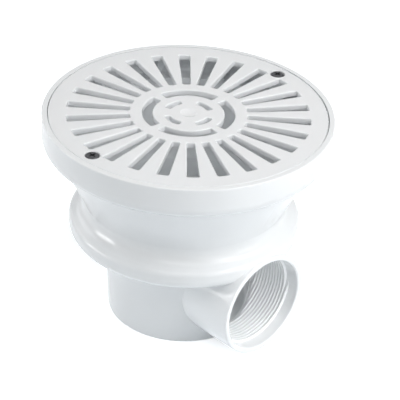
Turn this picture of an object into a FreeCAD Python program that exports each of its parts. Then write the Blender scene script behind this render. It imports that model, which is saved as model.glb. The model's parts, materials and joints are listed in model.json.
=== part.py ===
import FreeCAD, Part
import os
import Sketcher

Vector = FreeCAD.Vector
Rotation = FreeCAD.Rotation
Placement = FreeCAD.Placement

# A pool main drain: a moulded sump body with a threaded side outlet, a slotted grate that lies in
# the rim, and two screws that hold it down. The origin is the centre of the cup's foot, +Z is up
# and the outlet faces +X. All sizes are in millimetres.

DRIVING_SIZES = {
    # sump body, stacked from the foot up
    "wall": 3.4,
    "cup_diameter": 98.4,
    "cup_height": 55.6,
    "cup_draft": 2.8,
    "flange_diameter": 143.8,
    "flange_thickness": 12.4,
    "flange_rise": 4.5,
    "neck_diameter": 119.0,
    "funnel_height": 43.9,
    "rim_diameter": 178.0,
    "rim_depth": 21.6,
    "rim_lip": 3.4,
    "rim_overhang": 8.6,
    # side outlet with a two inch pipe thread
    "outlet_thread_diameter": 59.6,
    "outlet_wall": 3.4,
    "outlet_projection": 1.1,
    "outlet_foot_gap": 1.5,
    # grate supports inside the rim
    "support_rib_count": 12,
    "support_rib_thickness": 2.5,
    "support_rib_length": 8.0,
    "support_rib_root": 0.5,
    "boss_diameter": 11.0,
    # grate
    "grate_thickness": 3.6,
    "grate_clearance": 0.35,
    "slot_count": 26,
    "slot_inner_radius": 35.8,
    "slot_border": 10.95,
    "slot_inner_width": 4.9,
    "slot_outer_width": 7.4,
    "outer_arc_radius": 25.1,
    "outer_arc_width": 6.4,
    "outer_arc_half_angle": 39.0,
    "inner_arc_radius": 13.6,
    "inner_arc_width": 3.8,
    "inner_arc_half_angle": 24.5,
    "arc_count": 4,
    "dimple_diameter": 10.6,
    "dimple_depth": 1.5,
    # screws and inserts
    "screw_inset": 8.2,
    "screw_count": 2,
    "screw_diameter": 5.0,
    "screw_length": 12.0,
    "screw_clearance": 0.25,
    "screw_head_diameter": 8.4,
    "screw_head_height": 1.9,
    "screw_head_recess": 2.0,
    "screw_tip_room": 1.5,
    "cross_width": 1.0,
    "cross_length": 4.6,
    "cross_depth": 1.2,
    "insert_wall": 0.9,
    "insert_length": 9.0,
    # edge rounds
    "rim_round": 8.0,
    "rim_edge_round": 0.8,
    "flange_top_round": 3.0,
    "flange_under_round": 6.5,
    "neck_round": 8.0,
    "cup_foot_round": 0.8,
    "cup_floor_round": 3.0,
    "outlet_edge_round": 0.9,
    "outlet_mouth_chamfer": 0.6,
    "slot_corner_round": 1.2,
    "grate_edge_round": 0.8,
    "screw_head_round": 1.1,
}

# Places that follow from the driving sizes, as expressions on the sheet
FOOT_RADIUS = "(sizes.cup_diameter / 2 - sizes.cup_draft)"
CUP_RADIUS = "(sizes.cup_diameter / 2)"
FLANGE_RADIUS = "(sizes.flange_diameter / 2)"
NECK_RADIUS = "(sizes.neck_diameter / 2)"
RIM_RADIUS = "(sizes.rim_diameter / 2)"
FUNNEL_RADIUS = f"({RIM_RADIUS} - sizes.rim_overhang)"
SEAT_RADIUS = f"({RIM_RADIUS} - sizes.rim_lip)"
FLANGE_UNDERSIDE = "sizes.cup_height"
FLANGE_TOP = f"({FLANGE_UNDERSIDE} + sizes.flange_thickness)"
NECK_LEVEL = f"({FLANGE_TOP} + sizes.flange_rise)"
RIM_UNDERSIDE = f"({NECK_LEVEL} + sizes.funnel_height)"
RIM_TOP = f"({RIM_UNDERSIDE} + sizes.rim_depth)"
TROUGH_FLOOR = f"({RIM_UNDERSIDE} + sizes.wall)"
SHOULDER_LEVEL = f"({FLANGE_UNDERSIDE} + sizes.wall)"
SEAT_LEVEL = f"({RIM_TOP} - sizes.grate_thickness)"
BORE_RADIUS = "(sizes.outlet_thread_diameter / 2)"
SOCKET_RADIUS = f"({BORE_RADIUS} + sizes.outlet_wall)"
OUTLET_REACH = f"({FLANGE_RADIUS} + sizes.outlet_projection)"
OUTLET_LEVEL = f"({SOCKET_RADIUS} + sizes.outlet_foot_gap)"
GRATE_RADIUS = f"({SEAT_RADIUS} - sizes.grate_clearance)"
SLOT_OUTER = f"({GRATE_RADIUS} - sizes.slot_border)"
SCREW_CIRCLE = f"({SEAT_RADIUS} - sizes.screw_inset)"
SCREW_SEAT_LEVEL = f"({RIM_TOP} - sizes.screw_head_recess)"
DIMPLE_BALL = "((sizes.dimple_diameter ^ 2 / 4 + sizes.dimple_depth ^ 2) / (2 * sizes.dimple_depth))"
INSERT_BORE = "(sizes.screw_diameter / 2 + sizes.screw_clearance)"
INSERT_RADIUS = f"({INSERT_BORE} + sizes.insert_wall)"
INSERT_HOLE_DEPTH = (
    "max(sizes.insert_length; sizes.screw_length + sizes.screw_head_recess - sizes.grate_thickness)"
    " + sizes.screw_tip_room"
)

doc = FreeCAD.newDocument("pool_main_drain")
sizes = doc.addObject("Spreadsheet::Sheet", "sizes")
for row, (alias, number) in enumerate(DRIVING_SIZES.items(), 1):
    sizes.set(f"A{row}", alias)
    sizes.set(f"B{row}", str(number))
    sizes.setAlias(f"B{row}", alias)
doc.recompute()


def value(expression):
    """The number that an expression on the sheet gives."""
    return float(sizes.evalExpression(expression))


def new_body(label):
    body = doc.addObject("PartDesign::Body", label)
    body.Label = label
    return body


def origin_feature(body, role):
    return next(item for item in body.Origin.OriginFeatures if item.Role == role)


def new_sketch(body, name, plane, level="0", turn=None):
    """A sketch on one of the body's own planes, moved out by level and turned by degrees."""
    sketch = body.newObject("Sketcher::SketchObject", name)
    sketch.AttachmentSupport = [(origin_feature(body, plane), "")]
    sketch.MapMode = "FlatFace"
    spin = Rotation(Vector(0, 0, 1), turn or 0)
    sketch.AttachmentOffset = Placement(Vector(0, 0, value(level)), spin)
    sketch.setExpression("AttachmentOffset.Base.z", level)
    return sketch


def bind(sketch, kind, places, expression):
    """Adds a dimension to a sketch and ties it to the sheet."""
    index = sketch.addConstraint(Sketcher.Constraint(kind, *places, value(expression)))
    sketch.setExpression(f"Constraints[{index}]", expression)


def place_point(sketch, geometry, point, across, along):
    """Ties a point's two coordinates to the sheet; a zero puts it on the sketch's axis."""
    for kind, axis, expression in (("DistanceX", -2, across), ("DistanceY", -1, along)):
        if expression == "0":
            sketch.addConstraint(Sketcher.Constraint("PointOnObject", geometry, point, axis))
        else:
            bind(sketch, kind, (-1, 1, geometry, point), expression)


def draw_outline(sketch, corners):
    """A closed outline of straight sides through corners given as pairs of expressions."""
    spots = [Vector(value(across), value(along), 0) for across, along in corners]
    for start, end in zip(spots, spots[1:] + spots[:1]):
        sketch.addGeometry(Part.LineSegment(start, end))
    for index, (across, along) in enumerate(corners):
        previous = (index - 1) % len(corners)
        sketch.addConstraint(Sketcher.Constraint("Coincident", previous, 2, index, 1))
        place_point(sketch, index, 1, across, along)


def draw_circle(sketch, across, along, radius):
    centre = Vector(value(across), value(along), 0)
    circle = sketch.addGeometry(Part.Circle(centre, Vector(0, 0, 1), value(radius)))
    place_point(sketch, circle, 3, across, along)
    bind(sketch, "Radius", (circle,), radius)


def draw_arc_slot(sketch, radius, width, half_angle):
    """A curved slot about the origin, centred on the sketch's own X axis."""
    ends = []
    for side in ("+", "-"):
        edge_radius = f"({radius} {side} {width} / 2)"
        angle = value(f"{half_angle} * pi / 180")
        circle = Part.Circle(Vector(0, 0, 0), Vector(0, 0, 1), value(edge_radius))
        arc = sketch.addGeometry(Part.ArcOfCircle(circle, -angle, angle))
        sketch.addConstraint(Sketcher.Constraint("Coincident", arc, 3, -1, 1))
        sketch.addConstraint(Sketcher.Constraint("Symmetric", arc, 1, arc, 2, -1))
        bind(sketch, "Radius", (arc,), edge_radius)
        bind(sketch, "DistanceY", (-1, 1, arc, 2), f"{edge_radius} * sin({half_angle} * 1 deg)")
        ends.append(arc)
    outer, inner = ends
    for point in (1, 2):
        start = sketch.getPoint(outer, point)
        end = sketch.getPoint(inner, point)
        side_line = sketch.addGeometry(Part.LineSegment(start, end))
        sketch.addConstraint(Sketcher.Constraint("Coincident", side_line, 1, outer, point))
        sketch.addConstraint(Sketcher.Constraint("Coincident", side_line, 2, inner, point))


def pad(body, name, sketch, length, both_ways=False):
    feature = body.newObject("PartDesign::Pad", name)
    feature.Profile = sketch
    feature.setExpression("Length", length)
    if both_ways:
        feature.SideType = "Symmetric"
    doc.recompute()
    return feature


def pocket(body, name, sketch, depth):
    """A cut into the material, away from the sketch's face."""
    before = body.Shape.Volume
    feature = body.newObject("PartDesign::Pocket", name)
    feature.Profile = sketch
    feature.setExpression("Length", depth)
    doc.recompute()
    if body.Shape.Volume >= before:
        raise RuntimeError(f"{name} removed nothing")
    return feature


def revolve(body, name, sketch, kind="Revolution"):
    """A full turn of a sketch about its upright axis; the kind Groove cuts."""
    feature = body.newObject(f"PartDesign::{kind}", name)
    feature.Profile = sketch
    feature.ReferenceAxis = (sketch, ["V_Axis"])
    feature.Angle = 360
    doc.recompute()
    return feature


def repeat_round(body, name, features, count, step=None):
    """Copies features round +Z: evenly over the full turn, or a second one at step degrees."""
    pattern = body.newObject("PartDesign::PolarPattern", name)
    pattern.Originals = features
    pattern.Axis = (origin_feature(body, "Z_Axis"), [""])
    pattern.Angle = step or 360
    pattern.setExpression("Occurrences", count)
    body.Tip = pattern
    doc.recompute()
    return pattern


def dress_edges(body, kind, name, picks, size_name, expression):
    """A fillet or chamfer on the edges that the picks function accepts."""
    base = body.Tip
    names = [f"Edge{i}" for i, edge in enumerate(base.Shape.Edges, 1) if picks(edge)]
    if not names:
        raise RuntimeError(f"{name} found no edge")
    feature = body.newObject(f"PartDesign::{kind}", name)
    feature.Base = (base, names)
    feature.setExpression(size_name, expression)
    body.Tip = feature
    doc.recompute()
    return feature


NEAR = 0.01


def ring_at(radius, level):
    """Picks the full circle about +Z with this radius and level."""

    def picks(edge):
        if not isinstance(edge.Curve, Part.Circle):
            return False
        centre = edge.Curve.Center
        level_fits = abs(centre.z - value(level)) < NEAR
        radius_fits = abs(edge.Curve.Radius - value(radius)) < NEAR
        return level_fits and radius_fits and abs(centre.x) < NEAR and abs(centre.y) < NEAR

    return picks


def is_upright(edge):
    """Picks the straight edges that run along +Z."""
    if not isinstance(edge.Curve, Part.Line):
        return False
    return abs(abs(edge.Curve.Direction.z) - 1) < NEAR


# Sump body: the shell is one turned profile, foot to rim and back down to the cup, still solid
sump_body = new_body("sump_body")
shell_sketch = new_sketch(sump_body, "shell_profile", "XZ_Plane")
draw_outline(shell_sketch, [
    ("0", "0"),
    (FOOT_RADIUS, "0"),
    (CUP_RADIUS, FLANGE_UNDERSIDE),
    (FLANGE_RADIUS, FLANGE_UNDERSIDE),
    (FLANGE_RADIUS, FLANGE_TOP),
    (NECK_RADIUS, NECK_LEVEL),
    (FUNNEL_RADIUS, RIM_UNDERSIDE),
    (RIM_RADIUS, RIM_UNDERSIDE),
    (RIM_RADIUS, RIM_TOP),
    (SEAT_RADIUS, RIM_TOP),
    (SEAT_RADIUS, TROUGH_FLOOR),
    (f"{FUNNEL_RADIUS} - sizes.wall", TROUGH_FLOOR),
    (f"{NECK_RADIUS} - sizes.wall", NECK_LEVEL),
    (f"{NECK_RADIUS} - sizes.wall", SHOULDER_LEVEL),
    ("0", SHOULDER_LEVEL),
])
revolve(sump_body, "shell", shell_sketch)
for round_name, radius, level, round_size in (
    ("rim_under_round", RIM_RADIUS, RIM_UNDERSIDE, "sizes.rim_round"),
    ("trough_round", SEAT_RADIUS, TROUGH_FLOOR, "sizes.rim_round - sizes.wall"),
    ("rim_edge_round", RIM_RADIUS, RIM_TOP, "sizes.rim_edge_round"),
    ("flange_under_round", FLANGE_RADIUS, FLANGE_UNDERSIDE, "sizes.flange_under_round"),
    ("flange_top_round", FLANGE_RADIUS, FLANGE_TOP, "sizes.flange_top_round"),
    ("neck_crease_round", NECK_RADIUS, NECK_LEVEL, "sizes.neck_round"),
    ("cup_foot_round", FOOT_RADIUS, "0", "sizes.cup_foot_round"),
):
    dress_edges(sump_body, "Fillet", round_name, ring_at(radius, level), "Radius", round_size)

# The threaded outlet is a round socket that grows from the cup's side and into the flange
socket_sketch = new_sketch(sump_body, "socket_circle", "YZ_Plane")
draw_circle(socket_sketch, "0", OUTLET_LEVEL, SOCKET_RADIUS)
pad(sump_body, "outlet_socket", socket_sketch, OUTLET_REACH)

# The cup is hollowed through the socket's root, then the bore opens it to the side
CUP_FLOOR_RADIUS = f"({FOOT_RADIUS} - sizes.wall)"
CUP_MOUTH_RADIUS = f"({CUP_RADIUS} - sizes.wall)"
hollow_sketch = new_sketch(sump_body, "cup_hollow_profile", "XZ_Plane")
draw_outline(hollow_sketch, [
    ("0", "sizes.wall"),
    (CUP_FLOOR_RADIUS, "sizes.wall"),
    (CUP_MOUTH_RADIUS, SHOULDER_LEVEL),
    (CUP_MOUTH_RADIUS, RIM_TOP),
    ("0", RIM_TOP),
])
revolve(sump_body, "cup_hollow", hollow_sketch, "Groove")
dress_edges(
    sump_body, "Fillet", "cup_floor_round", ring_at(CUP_FLOOR_RADIUS, "sizes.wall"), "Radius",
    "sizes.cup_floor_round",
)
bore_sketch = new_sketch(sump_body, "bore_circle", "YZ_Plane", OUTLET_REACH)
draw_circle(bore_sketch, "0", OUTLET_LEVEL, BORE_RADIUS)
pocket(sump_body, "outlet_bore", bore_sketch, OUTLET_REACH)


def mouth_ring(radius):
    """Picks the outlet's circle of this radius at its mouth."""

    def picks(edge):
        if not isinstance(edge.Curve, Part.Circle):
            return False
        at_mouth = abs(edge.Curve.Center.x - value(OUTLET_REACH)) < NEAR
        return at_mouth and abs(edge.Curve.Radius - value(radius)) < NEAR

    return picks


dress_edges(
    sump_body, "Fillet", "outlet_edge", mouth_ring(SOCKET_RADIUS), "Radius", "sizes.outlet_edge_round"
)
dress_edges(
    sump_body, "Chamfer", "outlet_mouth", mouth_ring(BORE_RADIUS), "Size", "sizes.outlet_mouth_chamfer"
)

# Ribs in the rim's trough carry the grate, and two bosses take the screws
rib_sketch = new_sketch(sump_body, "rib_outline", "XZ_Plane")
RIB_INNER = f"{SEAT_RADIUS} - sizes.support_rib_length"
RIB_OUTER = f"{SEAT_RADIUS} + sizes.support_rib_root"
draw_outline(rib_sketch, [
    (RIB_INNER, TROUGH_FLOOR),
    (RIB_OUTER, TROUGH_FLOOR),
    (RIB_OUTER, SEAT_LEVEL),
    (RIB_INNER, SEAT_LEVEL),
])
rib = pad(sump_body, "support_rib", rib_sketch, "sizes.support_rib_thickness", both_ways=True)
repeat_round(sump_body, "support_ribs", [rib], "sizes.support_rib_count")
boss_sketch = new_sketch(sump_body, "boss_circle", "XY_Plane", TROUGH_FLOOR)
draw_circle(boss_sketch, "0", SCREW_CIRCLE, "sizes.boss_diameter / 2")
boss = pad(sump_body, "screw_boss", boss_sketch, f"{SEAT_LEVEL} - {TROUGH_FLOOR}")
repeat_round(sump_body, "screw_bosses", [boss], "sizes.screw_count")
insert_hole_sketch = new_sketch(sump_body, "insert_hole_circle", "XY_Plane", SEAT_LEVEL)
draw_circle(insert_hole_sketch, "0", SCREW_CIRCLE, INSERT_RADIUS)
insert_hole = pocket(sump_body, "insert_hole", insert_hole_sketch, INSERT_HOLE_DEPTH)
repeat_round(sump_body, "insert_holes", [insert_hole], "sizes.screw_count")

# Grate: a flat disc flush with the rim, cut by radial slots and two rings of curved slots
grate = new_body("grate")
disc_sketch = new_sketch(grate, "disc_circle", "XY_Plane", SEAT_LEVEL)
draw_circle(disc_sketch, "0", "0", GRATE_RADIUS)
pad(grate, "disc", disc_sketch, "sizes.grate_thickness")

slot_sketch = new_sketch(grate, "slot_outline", "XY_Plane", RIM_TOP)
draw_outline(slot_sketch, [
    ("sizes.slot_inner_radius", "-sizes.slot_inner_width / 2"),
    (SLOT_OUTER, "-sizes.slot_outer_width / 2"),
    (SLOT_OUTER, "sizes.slot_outer_width / 2"),
    ("sizes.slot_inner_radius", "sizes.slot_inner_width / 2"),
])
slot = pocket(grate, "radial_slot", slot_sketch, "sizes.grate_thickness")
repeat_round(grate, "radial_slots", [slot], "sizes.slot_count")

for ring, turn in (("outer", 45), ("inner", 0)):
    arc_sketch = new_sketch(grate, f"{ring}_arc_outline", "XY_Plane", RIM_TOP, turn)
    draw_arc_slot(
        arc_sketch,
        f"sizes.{ring}_arc_radius",
        f"sizes.{ring}_arc_width",
        f"sizes.{ring}_arc_half_angle",
    )
    arc_slot = pocket(grate, f"{ring}_arc_slot", arc_sketch, "sizes.grate_thickness")
    repeat_round(grate, f"{ring}_arc_slots", [arc_slot], "sizes.arc_count")
dress_edges(grate, "Fillet", "slot_corners", is_upright, "Radius", "sizes.slot_corner_round")

dimple = grate.newObject("PartDesign::SubtractiveSphere", "dimple")
dimple.setExpression("Radius", DIMPLE_BALL)
dimple.setExpression("Placement.Base.z", f"{RIM_TOP} - sizes.dimple_depth + {DIMPLE_BALL}")
doc.recompute()

head_recess_sketch = new_sketch(grate, "head_recess_circle", "XY_Plane", RIM_TOP)
HEAD_RECESS_RADIUS = "sizes.screw_head_diameter / 2 + sizes.screw_clearance"
draw_circle(head_recess_sketch, "0", SCREW_CIRCLE, HEAD_RECESS_RADIUS)
head_recess = pocket(grate, "head_recess", head_recess_sketch, "sizes.screw_head_recess")
shank_hole_sketch = new_sketch(grate, "shank_hole_circle", "XY_Plane", RIM_TOP)
draw_circle(shank_hole_sketch, "0", SCREW_CIRCLE, INSERT_BORE)
shank_hole = pocket(grate, "shank_hole", shank_hole_sketch, "sizes.grate_thickness")
repeat_round(grate, "screw_holes", [head_recess, shank_hole], "sizes.screw_count")


def on_grate_top(edge):
    """Picks the edges that lie in the grate's top face."""
    top = value(RIM_TOP)
    return abs(edge.BoundBox.ZMin - top) < NEAR and abs(edge.BoundBox.ZMax - top) < NEAR


dress_edges(grate, "Fillet", "grate_edges", on_grate_top, "Radius", "sizes.grate_edge_round")


def make_screw(side):
    """One screw: a low round head with a cross recess, and its shank down into the insert."""
    body = new_body(f"grate_screw_{side}")
    profile = new_sketch(body, f"screw_profile_{side}", "XZ_Plane")
    head_radius = "sizes.screw_head_diameter / 2"
    head_top = f"{SCREW_SEAT_LEVEL} + sizes.screw_head_height"
    tip = f"{SCREW_SEAT_LEVEL} - sizes.screw_length"
    draw_outline(profile, [
        ("0", tip),
        ("sizes.screw_diameter / 2", tip),
        ("sizes.screw_diameter / 2", SCREW_SEAT_LEVEL),
        (head_radius, SCREW_SEAT_LEVEL),
        (head_radius, head_top),
        ("0", head_top),
    ])
    revolve(body, f"screw_turned_{side}", profile)
    dress_edges(
        body, "Fillet", f"head_round_{side}", ring_at(head_radius, head_top), "Radius",
        "sizes.screw_head_round",
    )
    cross_sketch = new_sketch(body, f"cross_outline_{side}", "XY_Plane", head_top)
    half_length = "sizes.cross_length / 2"
    half_width = "sizes.cross_width / 2"
    draw_outline(cross_sketch, [
        (f"-{half_length}", f"-{half_width}"),
        (half_length, f"-{half_width}"),
        (half_length, half_width),
        (f"-{half_length}", half_width),
    ])
    cross = pocket(body, f"cross_slot_{side}", cross_sketch, "sizes.cross_depth")
    repeat_round(body, f"cross_{side}", [cross], "2", step=90)
    return body


def make_insert(side):
    """One brass insert: a plain bush pressed into its boss, flush with the boss's top."""
    body = new_body(f"screw_insert_{side}")
    profile = new_sketch(body, f"insert_profile_{side}", "XZ_Plane")
    bottom = f"{SEAT_LEVEL} - sizes.insert_length"
    draw_outline(profile, [
        (INSERT_BORE, bottom),
        (INSERT_RADIUS, bottom),
        (INSERT_RADIUS, SEAT_LEVEL),
        (INSERT_BORE, SEAT_LEVEL),
    ])
    revolve(body, f"insert_turned_{side}", profile)
    return body


def pair_on_screw_circle(label, make_piece):
    """Two like pieces at the two ends of the screw diameter, as one node."""
    pieces = []
    for side, sign in (("far", ""), ("near", "-")):
        piece = make_piece(side)
        piece.setExpression("Placement.Base.y", f"{sign}{SCREW_CIRCLE}")
        pieces.append(piece)
    pair = doc.addObject("Part::Compound", label)
    pair.Label = label
    pair.Links = pieces
    doc.recompute()
    return pair


grate_screws = pair_on_screw_circle("grate_screws", make_screw)
screw_inserts = pair_on_screw_circle("screw_inserts", make_insert)

doc.recompute()
for item in doc.Objects:
    if "Invalid" in item.State or "Error" in item.State:
        raise RuntimeError(f"{item.Label} failed: {item.State}")
SUB_PARTS = (sump_body, grate, grate_screws, screw_inserts)
for part in SUB_PARTS:
    if part.Shape.isNull() or not part.Shape.isValid():
        raise RuntimeError(f"{part.Label} has no valid shape")

os.makedirs("parts", exist_ok=True)
for part in SUB_PARTS:
    part.Shape.exportStep(f"parts/{part.Label}.step")
    print(part.Label, len(part.Shape.Solids), "solids", round(part.Shape.Volume), "mm3")
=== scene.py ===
import json
import math
from itertools import groupby

import bmesh
import bpy
from mathutils import Matrix, Vector
from mathutils.bvhtree import BVHTree


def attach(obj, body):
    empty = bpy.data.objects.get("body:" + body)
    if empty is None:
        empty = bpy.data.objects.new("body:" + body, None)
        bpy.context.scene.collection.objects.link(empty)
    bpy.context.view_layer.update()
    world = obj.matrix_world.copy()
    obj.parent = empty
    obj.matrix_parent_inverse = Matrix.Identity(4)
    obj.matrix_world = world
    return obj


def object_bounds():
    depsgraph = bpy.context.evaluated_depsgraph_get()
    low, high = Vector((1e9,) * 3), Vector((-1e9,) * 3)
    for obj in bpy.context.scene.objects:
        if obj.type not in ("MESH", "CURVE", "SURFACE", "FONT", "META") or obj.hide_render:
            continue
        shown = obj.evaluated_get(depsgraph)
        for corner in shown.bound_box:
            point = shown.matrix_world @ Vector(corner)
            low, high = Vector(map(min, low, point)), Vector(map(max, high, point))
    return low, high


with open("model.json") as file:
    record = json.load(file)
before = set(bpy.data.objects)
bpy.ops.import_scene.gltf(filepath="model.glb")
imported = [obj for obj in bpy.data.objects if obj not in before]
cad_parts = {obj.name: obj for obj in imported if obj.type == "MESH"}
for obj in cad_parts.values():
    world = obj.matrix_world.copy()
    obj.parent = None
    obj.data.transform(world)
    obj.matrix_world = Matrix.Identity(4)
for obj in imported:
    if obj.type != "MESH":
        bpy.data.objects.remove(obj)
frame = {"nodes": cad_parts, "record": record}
cad_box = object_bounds()


# Sump body: one injection moulding in white ABS, rim, funnel, casting flange, cup and side outlet
# in one shot. The tool was polished, then lightly grained, so the skin is satin with a soft gloss.
MM = 0.001
ABS_IOR = 1.53
ABS_CLOUD_MM = 38
ABS_CLOUD_FROM = 0.3
ABS_CLOUD_TO = 0.7
ABS_GLOSS_PATCH_MM = 9
ABS_LEAST_ROUGH = 0.13
ABS_MOST_ROUGH = 0.2
ABS_SINK_WAVE_MM = 30
ABS_SINK_HEIGHT = 0.05 * MM
# The grain of a satin tool is finer than this. It is drawn as coarse as it needs to show.
ABS_GRAIN_MM = 0.9
ABS_GRAIN_HEIGHT = 0.012 * MM
ABS_BUMP_STRENGTH = 0.5
ABS_SCATTER_DEPTH = 2.5 * MM


def linear(hex_colour):
    """An sRGB hex colour as linear red, green, blue and alpha."""
    channels = [int(hex_colour[i:i + 2], 16) / 255 for i in (1, 3, 5)]
    return [c / 12.92 if c <= 0.04045 else ((c + 0.055) / 1.055) ** 2.4 for c in channels] + [1.0]


def add_node(tree, kind, sockets, **settings):
    """Adds a shader node with its settings, then fills its sockets with values or links."""
    node = tree.nodes.new(kind)
    for name, setting in settings.items():
        setattr(node, name, setting)
    for name, given in sockets.items():
        if isinstance(given, bpy.types.NodeSocket):
            tree.links.new(given, node.inputs[name])
        else:
            node.inputs[name].default_value = given
    return node


def new_material(name):
    """An empty node material with its output, and the part's own coordinates in metres."""
    material = bpy.data.materials.new(name)
    material.use_nodes = True
    tree = material.node_tree
    tree.nodes.clear()
    output = add_node(tree, "ShaderNodeOutputMaterial", {})
    place = add_node(tree, "ShaderNodeTexCoord", {}).outputs["Object"]
    return material, tree, output, place


def pattern_scale(size_mm):
    """The texture scale that gives a pattern this size on coordinates in metres."""
    return 1 / (size_mm * MM)


def moulded_white_abs(name, shade_light, shade_deep, scatter):
    """White ABS off a satin tool: faint clouding from the melt's flow, a fine grain that breaks up
    the gloss, and slow waves in the skin where thick and thin stretches cooled apart. Where it is
    thin, some of the light scatters through it and softens its edges."""
    material, tree, output, place = new_material(name)
    cloud = add_node(tree, "ShaderNodeTexNoise", {
        "Vector": place, "Scale": pattern_scale(ABS_CLOUD_MM), "Detail": 3.0, "Roughness": 0.5})
    colour = add_node(tree, "ShaderNodeValToRGB", {"Fac": cloud.outputs["Fac"]})
    colour.color_ramp.elements[0].position = ABS_CLOUD_FROM
    colour.color_ramp.elements[0].color = linear(shade_deep)
    colour.color_ramp.elements[1].position = ABS_CLOUD_TO
    colour.color_ramp.elements[1].color = linear(shade_light)
    patches = add_node(tree, "ShaderNodeTexNoise", {
        "Vector": place, "Scale": pattern_scale(ABS_GLOSS_PATCH_MM), "Detail": 4.0})
    gloss = add_node(tree, "ShaderNodeMapRange", {
        "Value": patches.outputs["Fac"], "To Min": ABS_LEAST_ROUGH, "To Max": ABS_MOST_ROUGH})
    waves = add_node(tree, "ShaderNodeTexNoise", {
        "Vector": place, "Scale": pattern_scale(ABS_SINK_WAVE_MM), "Detail": 1.0})
    sink = add_node(tree, "ShaderNodeBump", {
        "Height": waves.outputs["Fac"], "Strength": ABS_BUMP_STRENGTH,
        "Distance": ABS_SINK_HEIGHT})
    grain = add_node(tree, "ShaderNodeTexNoise", {
        "Vector": place, "Scale": pattern_scale(ABS_GRAIN_MM), "Detail": 2.0})
    skin = add_node(tree, "ShaderNodeBump", {
        "Height": grain.outputs["Fac"], "Strength": ABS_BUMP_STRENGTH,
        "Distance": ABS_GRAIN_HEIGHT, "Normal": sink.outputs["Normal"]})
    plastic = add_node(tree, "ShaderNodeBsdfPrincipled", {
        "Base Color": colour.outputs["Color"], "Roughness": gloss.outputs["Result"],
        "Normal": skin.outputs["Normal"], "IOR": ABS_IOR, "Subsurface Weight": scatter,
        "Subsurface Radius": (1, 1, 1), "Subsurface Scale": ABS_SCATTER_DEPTH})
    tree.links.new(plastic.outputs["BSDF"], output.inputs["Surface"])
    return material


def dress(node_name, material):
    """Gives a solid of the frame its finish."""
    mesh = frame["nodes"][node_name].data
    mesh.materials.clear()
    mesh.materials.append(material)


body_abs = moulded_white_abs(
    "body_white_abs", shade_light="#f7f9fa", shade_deep="#f5f7f8", scatter=0.0)
dress("sump_body", body_abs)


# Outlet thread: the two inch pipe thread inside the side outlet, moulded on an unscrewing core in
# the same ABS. It starts behind a plain lead-in, and stops where the bore opens into the cup.
INCH = 25.4 * MM
TURNS_PER_INCH = 11
THREAD_PITCH = INCH / TURNS_PER_INCH
THREAD_DEPTH = 1.479 * MM
THREAD_LEAD_IN = 8.5 * MM
THREAD_FOOT_SINK = 0.08 * MM
THREAD_BASE_SINK = 0.4 * MM
THREAD_MOST_TURNS = 15
STEPS_PER_TURN = 120
FADE_STEPS = 5
LEAST_STEPS = 12
WALL_MARGIN = 0.3 * MM
WALL_PROBES = (-0.5, 0.0, 0.5)

# Half of one ridge as (share of the pitch from the crest, share of the depth from the root): a
# crest that the moulding leaves flat, a steep flank, and a narrow root between the ridges.
RIDGE_HALF = ((0.0, 1.0), (0.18, 1.0), (0.22, 0.94), (0.40, 0.06), (0.43, 0.0), (0.48, 0.0))
RIDGE_SECTION = [(-along, height) for along, height in reversed(RIDGE_HALF)] + list(RIDGE_HALF[1:])
RIDGE_BASE_HALF = RIDGE_HALF[-1][0] * THREAD_PITCH

outlet = next(mount for mount in frame["record"]["mounts"] if mount["name"] == "outlet")
bore_radius = outlet["dims"]["r_mm"] * MM
outlet_level = outlet["pos_m"][2]
body_mesh = frame["nodes"]["sump_body"].data
mouth_x = max(v.co.x for v in body_mesh.vertices if v.co.z < outlet_level)
body_faces = BVHTree.FromPolygons(
    [v.co for v in body_mesh.vertices], [face.vertices for face in body_mesh.polygons])


def helix(step):
    """A step along the right-handed crest line: its x, and the y and z of the way out from it."""
    turn = step / STEPS_PER_TURN
    angle = -turn * math.tau
    return mouth_x - THREAD_LEAD_IN - turn * THREAD_PITCH, math.cos(angle), math.sin(angle)


def on_the_bore(step):
    """True where the bore's wall carries the ridge over its whole width."""
    crest_x, out_y, out_z = helix(step)
    outward = Vector((0, out_y, out_z))
    for share in WALL_PROBES:
        start = Vector((crest_x + share * THREAD_PITCH, 0, outlet_level))
        distance = body_faces.ray_cast(start, outward)[3]
        if distance is None or abs(distance - bore_radius) > WALL_MARGIN:
            return False
    return True


def thread_runs():
    """The first and last step of each stretch of the helix that lies on the bore's wall."""
    runs = []
    for carried, steps in groupby(range(THREAD_MOST_TURNS * STEPS_PER_TURN + 1), on_the_bore):
        stretch = list(steps)
        if carried and len(stretch) > LEAST_STEPS:
            runs.append((stretch[0], stretch[-1]))
    return runs


def add_ridge(work, first_step, last_step):
    """Adds one closed stretch of the ridge, which fades in and out at its ends."""
    loops = []
    for step in range(first_step, last_step + 1):
        crest_x, out_y, out_z = helix(step)
        fade = min(1.0, min(step - first_step, last_step - step) / FADE_STEPS)
        loop = []
        for along, height in RIDGE_SECTION:
            radius = bore_radius + THREAD_FOOT_SINK * (1 - height) - THREAD_DEPTH * height * fade
            loop.append((crest_x - along * THREAD_PITCH, radius))
        loop.append((crest_x - RIDGE_BASE_HALF, bore_radius + THREAD_BASE_SINK))
        loop.append((crest_x + RIDGE_BASE_HALF, bore_radius + THREAD_BASE_SINK))
        loops.append([
            work.verts.new((x, radius * out_y, outlet_level + radius * out_z))
            for x, radius in loop
        ])
    # The faces along the section show and are smooth. The last three lie inside the wall.
    shown = len(RIDGE_SECTION) - 1
    count = len(loops[0])
    for first, second in zip(loops, loops[1:]):
        for i in range(count):
            j = (i + 1) % count
            face = work.faces.new((first[i], first[j], second[j], second[i]))
            face.smooth = i < shown
    work.faces.new(list(reversed(loops[0])))
    work.faces.new(loops[-1])


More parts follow.
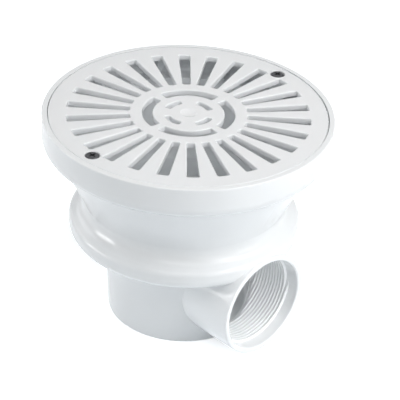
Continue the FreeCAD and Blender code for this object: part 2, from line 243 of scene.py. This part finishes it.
thread_mesh = bpy.data.meshes.new("outlet_thread")
thread_work = bmesh.new()
for run_start, run_end in thread_runs():
    add_ridge(thread_work, run_start, run_end)
bmesh.ops.recalc_face_normals(thread_work, faces=thread_work.faces)
thread_work.to_mesh(thread_mesh)
thread_work.free()
thread_mesh.materials.append(body_abs)
outlet_thread = bpy.data.objects.new("outlet_thread", thread_mesh)
bpy.context.scene.collection.objects.link(outlet_thread)
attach(outlet_thread, "root")


# Screw inserts: two turned brass bushes pressed into the bosses under the rim, so that the grate
# can be unscrewed again and again. They can be seen only once the grate is off.
BRASS_DULL_SHADE = "#b08d57"
BRASS_BRIGHT_SHADE = "#d9b878"
BRASS_LEAST_ROUGH = 0.22
BRASS_MOST_ROUGH = 0.4
BRASS_DULL_PATCH_MM = 2.5
BRASS_RING_MM = 0.35
BRASS_RING_DEPTH = 0.01 * MM
# The wave texture goes through this many radians in one unit of its coordinates.
WAVE_RADIANS = 20


def turned_brass():
    """Brass off the lathe: warm metal with fine tool rings and patches that have begun to dull."""
    material, tree, output, place = new_material("turned_brass")
    rings = add_node(tree, "ShaderNodeTexWave", {
        "Vector": place, "Scale": pattern_scale(BRASS_RING_MM) * math.tau / WAVE_RADIANS,
        "Distortion": 0.4}, bands_direction="Z")
    patches = add_node(tree, "ShaderNodeTexNoise", {
        "Vector": place, "Scale": pattern_scale(BRASS_DULL_PATCH_MM), "Detail": 3.0})
    colour = add_node(tree, "ShaderNodeValToRGB", {"Fac": patches.outputs["Fac"]})
    colour.color_ramp.elements[0].color = linear(BRASS_DULL_SHADE)
    colour.color_ramp.elements[1].color = linear(BRASS_BRIGHT_SHADE)
    rough = add_node(tree, "ShaderNodeMapRange", {
        "Value": patches.outputs["Fac"], "To Min": BRASS_LEAST_ROUGH, "To Max": BRASS_MOST_ROUGH})
    cut = add_node(tree, "ShaderNodeBump", {
        "Height": rings.outputs["Fac"], "Strength": 0.3, "Distance": BRASS_RING_DEPTH})
    metal = add_node(tree, "ShaderNodeBsdfPrincipled", {
        "Base Color": colour.outputs["Color"], "Metallic": 1.0,
        "Roughness": rough.outputs["Result"], "Normal": cut.outputs["Normal"]})
    tree.links.new(metal.outputs["BSDF"], output.inputs["Surface"])
    return material


dress("screw_inserts", turned_brass())


# Grate: one flat disc moulded in the same white ABS, a shade cooler. Its bars are thin, so light
# scatters in them. It lies loose in the rim on the ribs until the two screws hold it.
grate_abs = moulded_white_abs(
    "grate_white_abs", shade_light="#f6f9fc", shade_deep="#f4f7fb", scatter=0.7)
dress("grate", grate_abs)


# Grate screws: two stainless cross-recess screws with low round heads, sunk in the grate. The
# heads are pressed cold from wire. Their dark grey is painted shade: it stands in for the shade in
# the sunk heads and the dark surroundings that they reflect. The duller patches on them are wear.
# Both greys are painted shade, far darker than stainless steel. The patches between them are wear.
STEEL_DULL_IN_PAINTED_SHADE = "#36373a"
STEEL_BRIGHT_IN_PAINTED_SHADE = "#5b5c5f"
STEEL_LEAST_ROUGH = 0.28
STEEL_MOST_ROUGH = 0.46
STEEL_DULL_PATCH_MM = 1.6
STEEL_TOOTH_MM = 0.4
STEEL_TOOTH_HEIGHT = 0.01 * MM


def stainless_with_painted_shade():
    """Stainless steel in painted shade: a dark grey that stands in for the shade in the sunk heads
    and the dark surroundings they reflect, with a fine tooth and duller patches of wear.
    """
    material, tree, output, place = new_material("stainless_with_painted_shade")
    patches = add_node(tree, "ShaderNodeTexNoise", {
        "Vector": place, "Scale": pattern_scale(STEEL_DULL_PATCH_MM), "Detail": 4.0})
    colour = add_node(tree, "ShaderNodeValToRGB", {"Fac": patches.outputs["Fac"]})
    colour.color_ramp.elements[0].color = linear(STEEL_DULL_IN_PAINTED_SHADE)
    colour.color_ramp.elements[1].color = linear(STEEL_BRIGHT_IN_PAINTED_SHADE)
    rough = add_node(tree, "ShaderNodeMapRange", {
        "Value": patches.outputs["Fac"], "To Min": STEEL_LEAST_ROUGH, "To Max": STEEL_MOST_ROUGH})
    tooth = add_node(tree, "ShaderNodeTexNoise", {
        "Vector": place, "Scale": pattern_scale(STEEL_TOOTH_MM), "Detail": 1.0})
    skin = add_node(tree, "ShaderNodeBump", {
        "Height": tooth.outputs["Fac"], "Strength": 0.4, "Distance": STEEL_TOOTH_HEIGHT})
    metal = add_node(tree, "ShaderNodeBsdfPrincipled", {
        "Base Color": colour.outputs["Color"], "Metallic": 1.0,
        "Roughness": rough.outputs["Result"], "Normal": skin.outputs["Normal"]})
    tree.links.new(metal.outputs["BSDF"], output.inputs["Surface"])
    return material


dress("grate_screws", stainless_with_painted_shade())


# Floor: a plain white studio floor under the cup's foot. It shows white to the camera and in
# reflections, more so far away, and keeps the drain's soft shadow.
FLOOR_HALF = 2.5
FLOOR_LEVEL = -0.1 * MM
FLOOR_SHADE = "#eef3f7"
FLOOR_GLOW_NEAR = 0.62
FLOOR_GLOW_FAR = 1.0
FLOOR_NEAR = 0.35
FLOOR_FAR = 1.2


def seen_directly(tree):
    """1 for rays from the camera and in reflections or through glass, 0 for other light."""
    path = add_node(tree, "ShaderNodeLightPath", {})
    shiny = add_node(tree, "ShaderNodeMath", {
        0: path.outputs["Is Glossy Ray"], 1: path.outputs["Is Transmission Ray"]},
        operation="MAXIMUM")
    seen = add_node(tree, "ShaderNodeMath", {
        0: path.outputs["Is Camera Ray"], 1: shiny.outputs["Value"]}, operation="MAXIMUM")
    return seen.outputs["Value"]


floor_paint, floor_tree, floor_output, floor_place = new_material("white_floor_paint")
floor_diffuse = add_node(floor_tree, "ShaderNodeBsdfDiffuse", {"Color": linear(FLOOR_SHADE)})
floor_away = add_node(floor_tree, "ShaderNodeVectorMath", {0: floor_place}, operation="LENGTH")
floor_glow_here = add_node(floor_tree, "ShaderNodeMapRange", {
    "Value": floor_away.outputs["Value"], "From Min": FLOOR_NEAR, "From Max": FLOOR_FAR,
    "To Min": FLOOR_GLOW_NEAR, "To Max": FLOOR_GLOW_FAR})
floor_glow_share = add_node(floor_tree, "ShaderNodeMath", {
    0: seen_directly(floor_tree), 1: floor_glow_here.outputs["Result"]}, operation="MULTIPLY")
floor_glow = add_node(floor_tree, "ShaderNodeEmission", {
    "Strength": floor_glow_share.outputs["Value"]})
floor_both = add_node(floor_tree, "ShaderNodeAddShader", {
    0: floor_diffuse.outputs["BSDF"], 1: floor_glow.outputs["Emission"]})
floor_tree.links.new(floor_both.outputs["Shader"], floor_output.inputs["Surface"])

floor_mesh = bpy.data.meshes.new("floor")
floor_mesh.from_pydata(
    [(-FLOOR_HALF, -FLOOR_HALF, FLOOR_LEVEL), (FLOOR_HALF, -FLOOR_HALF, FLOOR_LEVEL),
     (FLOOR_HALF, FLOOR_HALF, FLOOR_LEVEL), (-FLOOR_HALF, FLOOR_HALF, FLOOR_LEVEL)],
    [], [(0, 1, 2, 3)],
)
floor_mesh.materials.append(floor_paint)
floor = bpy.data.objects.new("floor", floor_mesh)
bpy.context.scene.collection.objects.link(floor)


# Light: a white studio room that shows as white and in reflections, with soft boxes at the right,
# at the left, over the front and behind. The right is brightest, so the drain's round forms shade,
# and a narrow lamp beside the camera looks into the outlet and picks out its thread.
VIEW_AZIMUTH = 45.1
ROOM_COLOUR = (1, 1, 1, 1)
ROOM_LEVEL = 0.02
ROOM_SEEN_LEVEL = 1.0
SPOT_AZIMUTH = 26
SPOT_ELEVATION = 18
SPOT_DISTANCE = 0.9
SPOT_SPREAD = 0.8
SPOT_EDGE = 0.3
SPOT_LAMP_RADIUS = 0.015
SPOT_POWER = 22.0

world = bpy.data.worlds.new("white_room")
bpy.context.scene.world = world
world.use_nodes = True
room = world.node_tree
room.nodes.clear()
room_fill = add_node(room, "ShaderNodeBackground", {
    "Color": ROOM_COLOUR, "Strength": ROOM_LEVEL})
room_white = add_node(room, "ShaderNodeBackground", {
    "Color": ROOM_COLOUR, "Strength": ROOM_SEEN_LEVEL})
room_mix = add_node(room, "ShaderNodeMixShader", {
    0: seen_directly(room),
    1: room_fill.outputs["Background"], 2: room_white.outputs["Background"]})
add_node(room, "ShaderNodeOutputWorld", {"Surface": room_mix.outputs["Shader"]})


def direction(azimuth, elevation):
    """The way from the part to a camera or lamp at this azimuth and elevation in degrees."""
    a, e = math.radians(azimuth), math.radians(elevation)
    return Vector((math.sin(a) * math.cos(e), -math.cos(a) * math.cos(e), math.sin(e)))


def hang_lamp(lamp, target, azimuth, elevation, distance):
    """Hangs a lamp where it looks at its target; azimuth is from the camera's, in degrees."""
    way = direction(VIEW_AZIMUTH + azimuth, elevation)
    holder = bpy.data.objects.new(lamp.name, lamp)
    holder.location = target + way * distance
    holder.rotation_mode = "QUATERNION"
    holder.rotation_quaternion = way.to_track_quat("Z", "Y")
    bpy.context.scene.collection.objects.link(holder)


def soft_box(name, azimuth, elevation, distance, size, power):
    """A square area lamp that looks at the middle of the part."""
    lamp = bpy.data.lights.new(name, "AREA")
    lamp.shape = "SQUARE"
    lamp.size = size
    lamp.energy = power
    hang_lamp(lamp, (cad_box[0] + cad_box[1]) / 2, azimuth, elevation, distance)


soft_box("right_high_soft_box", azimuth=75, elevation=50, distance=1.1, size=0.6, power=5.0)
soft_box("right_front_soft_box", azimuth=45, elevation=34, distance=1.1, size=0.35, power=1.7)
soft_box("right_low_soft_box", azimuth=66, elevation=4, distance=1.1, size=0.5, power=2.3)
soft_box("left_soft_box", azimuth=-88, elevation=14, distance=1.2, size=0.5, power=5.0)
soft_box("front_top_soft_box", azimuth=0, elevation=62, distance=1.2, size=0.7, power=3.5)
soft_box("front_low_soft_box", azimuth=28, elevation=12, distance=1.1, size=0.35, power=0.9)
soft_box("back_left_soft_box", azimuth=-130, elevation=30, distance=1.2, size=0.6, power=2.0)
soft_box("back_top_soft_box", azimuth=160, elevation=60, distance=1.2, size=0.9, power=1.1)

spot = bpy.data.lights.new("outlet_spot", "SPOT")
spot.energy = SPOT_POWER
spot.spot_size = 2 * math.atan(SPOT_SPREAD * bore_radius / SPOT_DISTANCE)
spot.spot_blend = SPOT_EDGE
spot.shadow_soft_size = SPOT_LAMP_RADIUS
outlet_mouth = Vector((mouth_x, 0, outlet_level))
hang_lamp(spot, outlet_mouth, SPOT_AZIMUTH, SPOT_ELEVATION, SPOT_DISTANCE)


# Camera: a long lens above the front, with the outlet turned to the right. Its aim and tilt put
# the drain where the photograph has it.
LENS_PX = 1909.5
FRAME_PX = 400
SENSOR_MM = 36
VIEW_ELEVATION = 31.75
VIEW_TILT = -2.56
VIEW_DISTANCE = 1183.9 * MM
AXIS_POINT = Vector((0, 0, 87.1 * MM))
AXIS_POINT_PX = (185.5, 184.0)

back = direction(VIEW_AZIMUTH, VIEW_ELEVATION)
level_right = Vector((0, 0, 1)).cross(back).normalized()
level_up = back.cross(level_right)
tilt = math.radians(VIEW_TILT)
right = level_right * math.cos(tilt) - level_up * math.sin(tilt)
up = level_right * math.sin(tilt) + level_up * math.cos(tilt)
eye = AXIS_POINT + back * VIEW_DISTANCE
metres_per_px = VIEW_DISTANCE / LENS_PX
aim = (AXIS_POINT + right * (FRAME_PX / 2 - AXIS_POINT_PX[0]) * metres_per_px
       - up * (FRAME_PX / 2 - AXIS_POINT_PX[1]) * metres_per_px)
look_back = (eye - aim).normalized()
look_right = (right - look_back * right.dot(look_back)).normalized()
look_up = look_back.cross(look_right)
camera = bpy.data.cameras.new("camera")
camera.sensor_width = SENSOR_MM
camera.lens = LENS_PX * SENSOR_MM / FRAME_PX
camera_holder = bpy.data.objects.new("camera", camera)
camera_holder.matrix_world = Matrix.Translation(eye) @ Matrix(
    (look_right, look_up, look_back)).transposed().to_4x4()
bpy.context.scene.collection.objects.link(camera_holder)
bpy.context.scene.camera = camera_holder
bpy.context.scene.view_settings.view_transform = "Standard"
